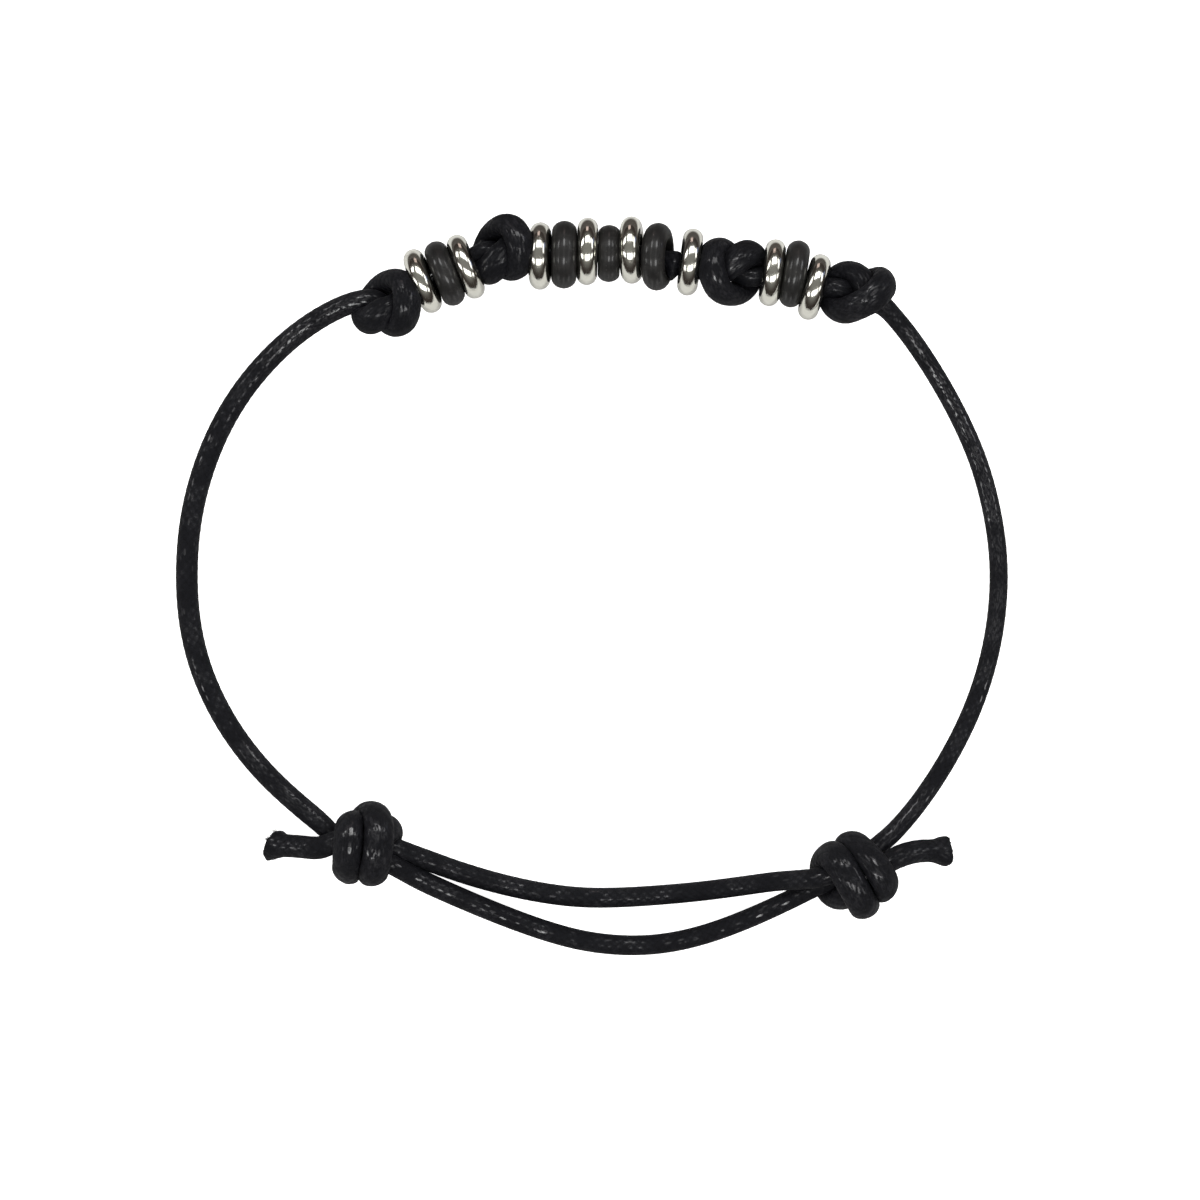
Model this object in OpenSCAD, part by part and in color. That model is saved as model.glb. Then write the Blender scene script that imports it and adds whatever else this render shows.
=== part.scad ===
// Cord bracelet lying closed on a flat surface. One black cord makes a loop with four stopper knots,
// thirteen rings between them, and two sliding knots whose tails stick out at the sides.
// Sizes are in millimetres, the surface is z = 0 and +Z is up.

/* [Cord] */
// Cord diameter at the middle of the bracelet
cord_d = 1.52; // [1.2:0.01:1.8]
// Diameter lost for each millimetre to the right
cord_taper = 0.0045; // [0:0.0005:0.01]
// Cord diameter where a knot or a ring squeezes it
tight_d = 1.36; // [1.2:0.02:1.5]
// Sides of the cord's section
cord_sides = 8; // [6:1:12]
// Gap left where two pieces of the cord meet
cut_gap = 0.1; // [0.04:0.02:0.3]
// Rings of the tube for each station of the cord
rings_per_station = 2; // [1:1:4]

/* [Knots] */
// Cord width that both knot tables are drawn in
knot_unit = 1.59; // [1.4:0.01:1.8]
// Shift of a stopper knot's table to its own middle, in cord widths
stopper_shift = 0.43; // [0:0.01:1]

/* [Silver rings] */
// Outer diameter of a silver ring
silver_od = 5; // [4:0.1:6]
// Wire thickness of a silver ring
silver_wire = 1.4; // [1:0.05:1.8]

/* [Rubber rings] */
// Outer diameter of a rubber ring
rubber_od = 5.1; // [4:0.1:6]
// Thickness of a rubber ring from its hole outwards
rubber_wall = 1.6; // [1:0.05:2]
// Outer diameter of the small rubber ring
small_od = 4.3; // [3:0.1:5]
// Thickness of the small rubber ring
small_wall = 1.2; // [0.8:0.05:1.6]
// Height of the small rubber ring's centre, which hangs on the cord
small_z = 2.35; // [2:0.05:3]

/* [Hidden] */

ring_facets = 64;
// Straight part left in a round rubber section
thinnest_web = 0.001;
cord_black = [0.05, 0.05, 0.06];
silver_grey = [0.82, 0.81, 0.79];
rubber_grey = [0.16, 0.15, 0.15];

// First half of a stopper knot, an overhand knot pulled tight, in cord widths.
// Columns: along the cord, across it, up
stopper_half = [
    [-2.2, -0.25, -0.1], [-1.55, -0.3, -0.05], [-0.95, -0.35, 0.05], [-0.45, -0.5, 0.25],
    [-0.05, -0.9, 0.5], [0.4, -1.25, 0.35], [0.8, -1.4, 0], [1.1, -1.25, -0.5],
    [1.15, -0.8, -0.9], [1, -0.25, -1.05], [0.7, 0.25, -0.85], [0.35, 0.5, -0.5], [0, 0.55, 0]];

// First half of a sliding knot, which wraps twice round the other strand, in cord widths.
// Columns: along the cord, across it, up
wrap_half = [
    [2.2, -0.45, -0.1], [1.4, -0.45, 0], [0.65, -0.55, -0.1], [-0.1, -0.5, -0.45],
    [-0.65, -0.15, -0.85], [-1.05, 0.5, -1], [-1.2, 1.2, -0.7], [-1.15, 1.45, 0.05],
    [-1, 1.15, 0.75], [-0.8, 0.55, 1.2], [-0.6, -0.2, 1.45], [-0.45, -0.9, 1.2],
    [-0.35, -1.35, 0.55], [-0.25, -1.5, -0.2], [-0.15, -1.35, -0.95], [-0.05, -0.75, -1.5],
    [0, 0, -1.65]];

// Where each knot lies. Columns: centre x, y, z, heading, roll, hand, length scale, girth scale,
// lean, set, rows left out at the start, rows left out at the end
KX = 0;
KY = 1;
KZ = 2;
HEADING = 3;
ROLL = 4;
HAND = 5;
LENGTH = 6;
GIRTH = 7;
LEAN = 8;
SET = 9;
SKIP_START = 10;
SKIP_END = 11;
place_1 = [-15.21, 21.27, 2.89, -9, -8, -1, 0.89, 1.07, 0.1, -0.05, 3, 3];
place_2 = [-6.73, 25.28, 2.8, 6, -9, -1, 0.84, 1.06, 0.1, -0.05, 3, 2];
place_3 = [10.46, 23.48, 2.77, -5, 185, -1, 0.99, 1.05, 0, 0.1, 2, 2];
place_4 = [19.78, 21.97, 2.89, -20, 145, 1, 0.89, 0.98, 0, 0.1, 2, 1];
place_left = [-16.91, -19.31, 3.16, -7, 86, 1, 1, 0.99, 0.1, 0.25, 1, 1];
place_right = [19.47, -21.56, 3.18, 22, 288, 1, 1.01, 0.97, 0, 0.05, 1, 1];

// Stations of the free cord. Columns: x, y, z
tail_left = [[-24, -19.4, 1.5], [-22.2, -19.45, 2.4], [-20.5, -19.55, 3.3]];
strand_upper = [
    [-12.7, -20.4, 2.2], [-10, -21.4, 1.7], [-7.1, -22.3, 1.2], [-4, -23, 0.9], [-0.9, -23.4, 0.8],
    [2.1, -23.4, 0.8], [5.2, -23.2, 0.9], [8.2, -22.9, 1.3], [11, -22.5, 1.9], [13.5, -22.1, 2.7]];
core_right = [
    [15.5, -21.9, 3.4], [17.1, -21.7, 3.8], [18.2, -21.3, 3.8], [19.2, -20.9, 3.5],
    [20.2, -20.4, 3.1], [21.3, -19.5, 2.7]];
arc_right = [
    [22.8, -18.2, 2.3], [24.7, -16, 1.8], [26.7, -13, 1.4], [28.5, -9.5, 1], [29.8, -5.7, 0.8],
    [30.5, -1.8, 0.75], [30.6, 2, 0.75], [30.1, 5.7, 0.75], [29.1, 9.4, 0.75], [27.6, 12.8, 0.9],
    [25.9, 15.8, 1.3], [24.2, 18.3, 1.9], [22.8, 20, 2.5]];
row_right = [[16.9, 22.5, 2.7], [15.2, 23.3, 2.5], [13.4, 23.3, 2.6]];
row_middle = [
    [7.3, 24, 2.6], [5.3, 24.5, 2.5], [3.2, 24.9, 2.5], [1.3, 25, 2.5], [-0.6, 24.9, 2.4],
    [-2.4, 24.9, 2.4], [-4.1, 25, 2.5]];
row_left = [
    [-8.3, 25, 2.8], [-9.5, 24.3, 2.6], [-11, 23.6, 2.4], [-12.5, 22.8, 2.4], [-13.6, 21.9, 2.7]];
arc_left = [
    [-16.7, 21.5, 2.7], [-18, 21.3, 2.6], [-19.8, 20.5, 2.2], [-21.9, 19.2, 1.7], [-24, 17.4, 1.3],
    [-26.1, 15, 1], [-27.9, 12.1, 0.9], [-29.3, 8.7, 0.9], [-30.2, 5, 0.9], [-30.5, 1.2, 0.9],
    [-30.3, -2.5, 0.9], [-29.5, -6, 0.9], [-28.1, -9.2, 1], [-26.3, -12, 1.2], [-24.2, -14.4, 1.6],
    [-22.2, -16.2, 1.9], [-20.5, -17.6, 2.1]];
core_left = [
    [-19.2, -18.8, 2.3], [-18.1, -19.6, 2.7], [-17, -20.1, 3.2], [-15.9, -20.3, 3.5],
    [-14.6, -21, 3.1]];
strand_lower = [
    [-12.8, -22, 2.3], [-10.3, -23.2, 1.5], [-7.3, -24.5, 1], [-4.1, -25.7, 0.85], [-1, -26.6, 0.8],
    [2.1, -27, 0.8], [5.2, -26.9, 0.85], [8.4, -26.2, 1], [11.6, -25, 1.4], [14.8, -23.5, 2]];
tail_right = [[23.1, -20.1, 3.3], [24.8, -19.75, 2.4], [26.5, -19.9, 1.5]];

// Rings on the cord. Columns: centre x, y, turn about Z
SILVER = [
    [-12.6, 22.9, 22], [-9.45, 23.95, 22], [-3.8, 24.75, -1], [-0.35, 25.1, -1.5],
    [2.85, 25.2, 0], [7.35, 24.3, -7], [13.5, 23.5, -8], [16.65, 22.43, -15]];
// Columns: centre x, y, turn about Z, width along the cord, lean backwards
RUBBER = [
    [-11, 23.45, 22, 1.6, 0], [-2.1, 24.85, -1, 1.8, 0], [1.25, 24.95, -1, 1.6, 0],
    [4.9, 24.7, -3, 1.7, 12], [15.2, 23.4, -10, 1.6, 0]];
WIDTH = 3;
BACK = 4;
SMALL_ROW = 2;

function reversed(rows) = [for (k = [len(rows) - 1:-1:0]) rows[k]];
function trimmed(rows, start, end) = [for (k = [start:len(rows) - 1 - end]) rows[k]];
function unit(v) = v / norm(v);

// The second half of a knot mirrors the first by these signs
function whole_knot(half, signs) = concat(half,
    [for (k = [len(half) - 2:-1:0]) [half[k].x * signs.x, half[k].y * signs.y, half[k].z * signs.z]]);
stopper = [for (p = whole_knot(stopper_half, [-1, 1, -1])) p + [0, stopper_shift, 0]];
wrap = whole_knot(wrap_half, [-1, -1, 1]);

// A knot's stations, rolled about the cord, scaled, leaned and set at its place
function rolled(p, k) = [
    p.x,
    p.y * cos(k[ROLL]) - p.z * k[HAND] * sin(k[ROLL]),
    p.y * sin(k[ROLL]) + p.z * k[HAND] * cos(k[ROLL])];
function sized(q, k) = knot_unit * [
    q.x * k[LENGTH] + q.y * k[LEAN] + q.z * k[SET], q.y * k[GIRTH], q.z * k[GIRTH]];
function headed(q, k) = [
    k[KX] + q.x * cos(k[HEADING]) - q.y * sin(k[HEADING]),
    k[KY] + q.x * sin(k[HEADING]) + q.y * cos(k[HEADING]),
    k[KZ] + q.z];
function knot_at(table, k) = reversed(trimmed(
    [for (p = table) headed(sized(rolled(p, k), k), k)], k[SKIP_START], k[SKIP_END]));

// The whole cord in order, from the left tail's end to the right tail's end
sections = [
    tail_left, knot_at(wrap, place_left), strand_upper, core_right, arc_right,
    knot_at(stopper, place_4), row_right, knot_at(stopper, place_3), row_middle,
    knot_at(stopper, place_2), row_left, knot_at(stopper, place_1), arc_left, core_left,
    strand_lower, knot_at(wrap, place_right), tail_right];
TAIL_L = 0;
WRAP_L = 1;
UPPER = 2;
CORE_R = 3;
ARC_R = 4;
STOP_4 = 5;
ROW_R = 6;
STOP_3 = 7;
ROW_M = 8;
STOP_2 = 9;
ROW_L = 10;
STOP_1 = 11;
ARC_L = 12;
CORE_L = 13;
LOWER = 14;
WRAP_R = 15;
TAIL_R = 16;
route = [for (s = sections) for (p = s) p];
function first_of(s) = s == 0 ? 0 : first_of(s - 1) + len(sections[s - 1]);
function last_of(s) = first_of(s) + len(sections[s]) - 1;

// Where the cord is squeezed: 1 within knots, cores and ring rows, falling to 0 over a few stations
fall_near = 1.5;
fall_far = 3;
squeezed = [
    [first_of(WRAP_L) - fall_far, 0], [first_of(WRAP_L) - fall_near, 1],
    [last_of(WRAP_L) + fall_near, 1], [last_of(WRAP_L) + fall_far, 0],
    [first_of(CORE_R) - fall_far, 0], [first_of(CORE_R) - fall_near, 1],
    [last_of(CORE_R) + fall_near, 1], [last_of(CORE_R) + fall_far, 0],
    [first_of(STOP_4) - fall_far, 0], [first_of(STOP_4) - fall_near, 1],
    [last_of(STOP_1) + fall_near, 1], [last_of(STOP_1) + fall_far, 0],
    [first_of(CORE_L) - fall_far, 0], [first_of(CORE_L) - fall_near, 1],
    [last_of(CORE_L) + fall_near, 1], [last_of(CORE_L) + fall_far, 0],
    [first_of(WRAP_R) - fall_far, 0], [first_of(WRAP_R) - fall_near, 1],
    [last_of(WRAP_R) + fall_near, 1], [last_of(WRAP_R) + fall_far, 0]];
function free_d(x) = cord_d - cord_taper * x;
function girth_at(u, x) = let (w = lookup(u, squeezed)) w * tight_d + (1 - w) * free_d(x);

// A smooth curve through the stations, and its direction, at the running station number u
function station(k) =
    k < 0 ? 2 * route[0] - route[1] :
    k > len(route) - 1 ? 2 * route[len(route) - 1] - route[len(route) - 2] : route[k];
function span_of(u) = min(floor(u), len(route) - 2);
function curve(u) = let (k = span_of(u), t = u - k,
    a = station(k - 1), b = station(k), c = station(k + 1), d = station(k + 2))
    (2 * b + (c - a) * t + (2 * a - 5 * b + 4 * c - d) * t * t + (3 * b - a - 3 * c + d) * t * t * t) / 2;
function heading(u) = let (k = span_of(u), t = u - k,
    a = station(k - 1), b = station(k), c = station(k + 1), d = station(k + 2))
    unit((c - a) + 2 * (2 * a - 5 * b + 4 * c - d) * t + 3 * (3 * b - a - 3 * c + d) * t * t);

// Side directions carried along the curve without a twist
function carried(t) = [for (
    k = 0, s = unit(cross(t[0], abs(t[0].z) < 0.9 ? [0, 0, 1] : [1, 0, 0]));
    k < len(t);
    k = k + 1, s = k < len(t) ? unit(s - t[k] * (s * t[k])) : s) s];

module tube(centres, tangents, radii) {
    sides = carried(tangents);
    rings = len(centres);
    n = cord_sides;
    points = [for (k = [0:rings - 1]) for (j = [0:n - 1])
        let (a = 360 * (j + 0.5) / n)
        centres[k] + radii[k] * (cos(a) * sides[k] + sin(a) * cross(tangents[k], sides[k]))];
    walls = [for (k = [0:rings - 2]) for (j = [0:n - 1])
        let (p = k * n + j, q = k * n + (j + 1) % n) each [[p, q + n, q], [p, p + n, q + n]]];
    near_end = [for (j = [1:n - 2]) [0, j, j + 1]];
    far_end = let (f = (rings - 1) * n) [for (j = [1:n - 2]) [f, f + j + 1, f + j]];
    polyhedron(points = points, faces = concat(walls, near_end, far_end), convexity = 10);
}

// The cord from one section to another, cut half way to the stations beyond
module cord_piece(first_section, last_section) {
    start = max(first_of(first_section) - 0.5, 0);
    end = min(last_of(last_section) + 0.5, len(route) - 1);
    count = round((end - start) * rings_per_station);
    us = [for (k = [0:count]) start + (end - start) * k / count];
    tangents = [for (u = us) heading(u)];
    centres = [for (k = [0:count]) curve(us[k])
        + (k == 0 ? tangents[k] : k == count ? -tangents[k] : [0, 0, 0]) * cut_gap / 2];
    radii = [for (k = [0:count]) girth_at(us[k], centres[k].x) / 2];
    color(cord_black) tube(centres, tangents, radii);
}

module sliding_knot_left() {
    cord_piece(TAIL_L, WRAP_L);
}

module sliding_knot_right() {
    cord_piece(WRAP_R, TAIL_R);
}

module cord_left() {
    cord_piece(ARC_L, LOWER);
}

module cord_right() {
    cord_piece(UPPER, ARC_R);
}

module knot_1() {
    cord_piece(STOP_1, STOP_1);
}

module knot_2() {
    cord_piece(STOP_2, STOP_2);
}

module knot_3() {
    cord_piece(STOP_3, STOP_3);
}

module knot_4() {
    cord_piece(STOP_4, STOP_4);
}

module thread_left() {
    cord_piece(ROW_L, ROW_L);
}

module thread_middle() {
    cord_piece(ROW_M, ROW_M);
}

module thread_right() {
    cord_piece(ROW_R, ROW_R);
}

// A ring standing on its edge with its axis along the cord, or tipped up from it by back
module upright(row, z, back = 0) {
    translate([row.x, row.y, z]) rotate([0, 90 - back, row.z]) children();
}

// Height of the centre of a ring that stands on the surface tipped back
function standing(od, wall, width, back) =
    (od - wall) / 2 * cos(back) + (width - wall) / 2 * sin(back) + wall / 2;

module silver_ring(k) {
    color(silver_grey)
        upright(SILVER[k], silver_od / 2)
            rotate_extrude($fn = ring_facets)
                translate([(silver_od - silver_wire) / 2, 0])
                    circle(d = silver_wire, $fn = ring_facets);
}

// A rubber ring has a round-edged section, wider along the cord than it is thick
module rubber_section(od, wall, width) {
    translate([(od - wall) / 2, 0]) {
        for (side = [-1, 1])
            translate([0, side * (width - wall) / 2])
                circle(d = wall, $fn = ring_facets);
        square([wall, max(width - wall, thinnest_web)], center = true);
    }
}

module rubber_ring(k) {
    row = RUBBER[k];
    small = k == SMALL_ROW;
    od = small ? small_od : rubber_od;
    wall = small ? small_wall : rubber_wall;
    z = small ? small_z : standing(od, wall, row[WIDTH], row[BACK]);
    color(rubber_grey)
        upright(row, z, row[BACK])
            rotate_extrude($fn = ring_facets)
                rubber_section(od, wall, row[WIDTH]);
}

module silver_ring_1() {
    silver_ring(0);
}

module silver_ring_2() {
    silver_ring(1);
}

module silver_ring_3() {
    silver_ring(2);
}

module silver_ring_4() {
    silver_ring(3);
}

module silver_ring_5() {
    silver_ring(4);
}

module silver_ring_6() {
    silver_ring(5);
}

module silver_ring_7() {
    silver_ring(6);
}

module silver_ring_8() {
    silver_ring(7);
}

module rubber_ring_1() {
    rubber_ring(0);
}

module rubber_ring_2() {
    rubber_ring(1);
}

module rubber_ring_3() {
    rubber_ring(2);
}

module rubber_ring_4() {
    rubber_ring(3);
}

module rubber_ring_5() {
    rubber_ring(4);
}

sliding_knot_left();
sliding_knot_right();
cord_left();
cord_right();
knot_1();
knot_2();
knot_3();
knot_4();
thread_left();
thread_middle();
thread_right();
silver_ring_1();
silver_ring_2();
silver_ring_3();
silver_ring_4();
silver_ring_5();
silver_ring_6();
silver_ring_7();
silver_ring_8();
rubber_ring_1();
rubber_ring_2();
rubber_ring_3();
rubber_ring_4();
rubber_ring_5();
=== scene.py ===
"""Cord bracelet lying closed: one braided cord tied in six knots, polished and rubber rings."""

from __future__ import annotations

import logging
import math
import random
from dataclasses import dataclass, field
from enum import Enum

import bmesh
import bpy
import numpy as np
from mathutils import Matrix, Vector

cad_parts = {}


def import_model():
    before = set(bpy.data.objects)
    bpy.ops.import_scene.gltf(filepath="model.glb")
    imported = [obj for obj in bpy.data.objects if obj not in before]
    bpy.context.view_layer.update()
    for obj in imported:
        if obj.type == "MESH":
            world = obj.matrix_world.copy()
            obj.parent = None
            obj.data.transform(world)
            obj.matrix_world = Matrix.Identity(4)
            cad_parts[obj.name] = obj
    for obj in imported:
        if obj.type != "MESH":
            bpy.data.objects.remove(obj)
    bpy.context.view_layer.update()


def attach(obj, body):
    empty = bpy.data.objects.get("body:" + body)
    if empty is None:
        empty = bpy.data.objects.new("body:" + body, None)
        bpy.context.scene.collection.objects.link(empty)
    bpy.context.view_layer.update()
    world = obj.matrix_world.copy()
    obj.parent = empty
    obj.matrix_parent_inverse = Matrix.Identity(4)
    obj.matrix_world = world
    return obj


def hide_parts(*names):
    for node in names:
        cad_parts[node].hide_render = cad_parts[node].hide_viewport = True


MM = 0.001
LOG = logging.getLogger("bracelet")

Row = tuple[float, ...]
Rows = tuple[Row, ...]
Span = tuple[float, float]
Point = tuple[float, float, float]
Array = np.ndarray
BMesh = bmesh.types.BMesh
Socket = bpy.types.NodeSocket
Tree = bpy.types.NodeTree
Material = bpy.types.Material

# Shares of a plait's height: its round section, and its passing over and under
CROWN_SHARE = 0.55
LIFT_SHARE = 0.45

# First half of a stopper knot in cord widths: along the cord, across it, up
STOPPER_HALF: Rows = (
    (-2.2, -0.25, -0.1), (-1.55, -0.3, -0.05), (-0.95, -0.35, 0.05), (-0.45, -0.5, 0.25),
    (-0.05, -0.9, 0.5), (0.4, -1.25, 0.35), (0.8, -1.4, 0), (1.1, -1.25, -0.5),
    (1.15, -0.8, -0.9), (1, -0.25, -1.05), (0.7, 0.25, -0.85), (0.35, 0.5, -0.5), (0, 0.55, 0),
)
# First half of a sliding knot, which wraps twice round the other strand
WRAP_HALF: Rows = (
    (2.2, -0.45, -0.1), (1.4, -0.45, 0), (0.65, -0.55, -0.1), (-0.1, -0.5, -0.45),
    (-0.65, -0.15, -0.85), (-1.05, 0.5, -1), (-1.2, 1.2, -0.7), (-1.15, 1.45, 0.05),
    (-1, 1.15, 0.75), (-0.8, 0.55, 1.2), (-0.6, -0.2, 1.45), (-0.45, -0.9, 1.2),
    (-0.35, -1.35, 0.55), (-0.25, -1.5, -0.2), (-0.15, -1.35, -0.95), (-0.05, -0.75, -1.5),
    (0, 0, -1.65),
)
# Stations of the free cord in millimetres, as in the part's source
TAIL_LEFT: Rows = ((-24, -19.4, 1.5), (-22.2, -19.45, 2.4), (-20.5, -19.55, 3.3))
STRAND_UPPER: Rows = (
    (-12.7, -20.4, 2.2), (-10, -21.4, 1.7), (-7.1, -22.3, 1.2), (-4, -23, 0.9), (-0.9, -23.4, 0.8),
    (2.1, -23.4, 0.8), (5.2, -23.2, 0.9), (8.2, -22.9, 1.3), (11, -22.5, 1.9), (13.5, -22.1, 2.7),
)
CORE_RIGHT: Rows = (
    (15.5, -21.9, 3.4), (17.1, -21.7, 3.8), (18.2, -21.3, 3.8), (19.2, -20.9, 3.5),
    (20.2, -20.4, 3.1), (21.3, -19.5, 2.7),
)
ARC_RIGHT: Rows = (
    (22.8, -18.2, 2.3), (24.7, -16, 1.8), (26.7, -13, 1.4), (28.5, -9.5, 1), (29.8, -5.7, 0.8),
    (30.5, -1.8, 0.75), (30.6, 2, 0.75), (30.1, 5.7, 0.75), (29.1, 9.4, 0.75), (27.6, 12.8, 0.9),
    (25.9, 15.8, 1.3), (24.2, 18.3, 1.9), (22.8, 20, 2.5),
)
ROW_RIGHT: Rows = ((16.9, 22.5, 2.7), (15.2, 23.3, 2.5), (13.4, 23.3, 2.6))
ROW_MIDDLE: Rows = (
    (7.3, 24, 2.6), (5.3, 24.5, 2.5), (3.2, 24.9, 2.5), (1.3, 25, 2.5), (-0.6, 24.9, 2.4),
    (-2.4, 24.9, 2.4), (-4.1, 25, 2.5),
)
ROW_LEFT: Rows = (
    (-8.3, 25, 2.8), (-9.5, 24.3, 2.6), (-11, 23.6, 2.4), (-12.5, 22.8, 2.4), (-13.6, 21.9, 2.7),
)
ARC_LEFT: Rows = (
    (-16.7, 21.5, 2.7), (-18, 21.3, 2.6), (-19.8, 20.5, 2.2), (-21.9, 19.2, 1.7), (-24, 17.4, 1.3),
    (-26.1, 15, 1), (-27.9, 12.1, 0.9), (-29.3, 8.7, 0.9), (-30.2, 5, 0.9), (-30.5, 1.2, 0.9),
    (-30.3, -2.5, 0.9), (-29.5, -6, 0.9), (-28.1, -9.2, 1), (-26.3, -12, 1.2), (-24.2, -14.4, 1.6),
    (-22.2, -16.2, 1.9), (-20.5, -17.6, 2.1),
)
CORE_LEFT: Rows = (
    (-19.2, -18.8, 2.3), (-18.1, -19.6, 2.7), (-17, -20.1, 3.2), (-15.9, -20.3, 3.5),
    (-14.6, -21, 3.1),
)
STRAND_LOWER: Rows = (
    (-12.8, -22, 2.3), (-10.3, -23.2, 1.5), (-7.3, -24.5, 1), (-4.1, -25.7, 0.85), (-1, -26.6, 0.8),
    (2.1, -27, 0.8), (5.2, -26.9, 0.85), (8.4, -26.2, 1), (11.6, -25, 1.4), (14.8, -23.5, 2),
)
TAIL_RIGHT: Rows = ((23.1, -20.1, 3.3), (24.8, -19.75, 2.4), (26.5, -19.9, 1.5))

# Silver rings in millimetres: centre x, y, turn about Z and tip backwards in degrees
SILVER_ROWS: Rows = (
    (-12.68, 22.88, 22, 3.5), (-9.45, 23.95, 22, 0), (-3.88, 24.75, -1, 3.5),
    (-0.35, 25.1, -1.5, 0), (2.97, 25.2, 0, 6), (7.35, 24.3, -7, 0), (13.5, 23.5, -8, 0),
    (16.65, 22.43, -15, 0),
)
# Rubber rings: centre x, y, z, turn about Z, tip backwards, outer diameter, wall, width
RUBBER_ROWS: Rows = (
    (-11.03, 23.44, 2.55, 22, 0, 5.1, 1.6, 1.8), (-2.08, 24.85, 2.55, -1, 0, 5.1, 1.6, 1.92),
    (1.27, 24.95, 2.35, -1, 0, 4.3, 1.2, 1.7), (4.9, 24.7, 2.522, -3, 12, 5.1, 1.6, 1.84),
    (15.16, 23.41, 2.55, -10, 0, 5.1, 1.6, 1.76),
)

# Where the wax is polished by handling, in millimetres: x, y, reach, strength. There the wax is
# glossier, and its lighter colour is partly painted glint.
POLISHED: Rows = (
    (-20.5, 20, 4.2, 0.75), (-24.5, 17, 3, 0.25), (27, 12.5, 6, 0.95), (29.9, 5, 4.5, 0.85),
    (30.6, -2, 4, 0.5), (-23.5, -15, 3.5, 0.35), (23, -18, 3, 0.35), (-8, -22, 4, 0.1),
    (-9, -24, 3.5, 0.15), (21, -20, 2.5, 0.3),
)

CORD_NODES: tuple[str, ...] = (
    "sliding_knot_left", "sliding_knot_right", "cord_left", "cord_right", "knot_1", "knot_2",
    "knot_3", "knot_4", "thread_left", "thread_middle", "thread_right",
)


class Mirror(Enum):
    """Signs that turn the first half of a knot into its second."""

    STOPPER = (-1.0, 1.0, -1.0)
    WRAP = (-1.0, -1.0, 1.0)


class Stretch(Enum):
    """What a stretch of the cord is doing."""

    FREE = "free"
    KNOT = "knot"
    CORE = "core"
    ROW = "row"
    TAIL = "tail"


def smoothstep(x: Array) -> Array:
    """Clip values to 0 and 1 and ease them."""
    t = np.clip(x, 0.0, 1.0)
    return t * t * (3.0 - 2.0 * t)


def unit_rows(rows: Array) -> Array:
    """Scale each row to length 1."""
    return rows / np.maximum(np.linalg.norm(rows, axis=1), 1e-12)[:, None]


def run_along(points: Array) -> Array:
    """Running length of a line at each of its samples."""
    return np.concatenate(([0.0], np.cumsum(np.linalg.norm(np.diff(points, axis=0), axis=1))))


@dataclass(frozen=True)
class KnotPlace:
    """Where and how one knot lies, in millimetres, degrees and cord widths."""

    centre: Row
    heading: float
    roll: float
    hand: float
    length: float
    girth: float
    lean: float
    set_back: float
    skip_start: int
    skip_end: int

    def lay(self, table: Array, unit: float) -> Array:
        """Turn a knot table into stations.

        Args:
            table: Knot stations in cord widths.
            unit: Cord width of the table in millimetres.

        Returns:
            Stations in millimetres, in the order that the cord runs.
        """
        roll = math.radians(self.roll)
        turn = math.radians(self.heading)
        across = table[:, 1] * math.cos(roll) - table[:, 2] * self.hand * math.sin(roll)
        up = table[:, 1] * math.sin(roll) + table[:, 2] * self.hand * math.cos(roll)
        along = (table[:, 0] * self.length + across * self.lean + up * self.set_back) * unit
        across = across * self.girth * unit
        up = up * self.girth * unit
        stations = np.stack(
            (
                self.centre[0] + along * math.cos(turn) - across * math.sin(turn),
                self.centre[1] + along * math.sin(turn) + across * math.cos(turn),
                self.centre[2] + up,
            ),
            axis=1,
        )
        return stations[self.skip_start : len(stations) - self.skip_end][::-1]


@dataclass(frozen=True)
class CutEnd:
    """One cut end of the cord: its middle and the three directions there."""

    middle: Vector
    outward: Vector
    side: Vector
    up: Vector


@dataclass(frozen=True)
class CordLine:
    """The cord's centreline, sampled evenly, with a frame that doesn't twist."""

    points: Array
    tangents: Array
    sides: Array
    ups: Array
    run: Array
    station: Array

    @property
    def length(self) -> float:
        """Length of the line in metres."""
        return float(self.run[-1])

    @property
    def ends(self) -> list[CutEnd]:
        """The left and the right cut end."""
        return [
            CutEnd(
                Vector(self.points[k]), Vector(self.tangents[k]) * sign,
                Vector(self.sides[k]), Vector(self.ups[k]),
            )
            for k, sign in ((0, -1.0), (-1, 1.0))
        ]


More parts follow.
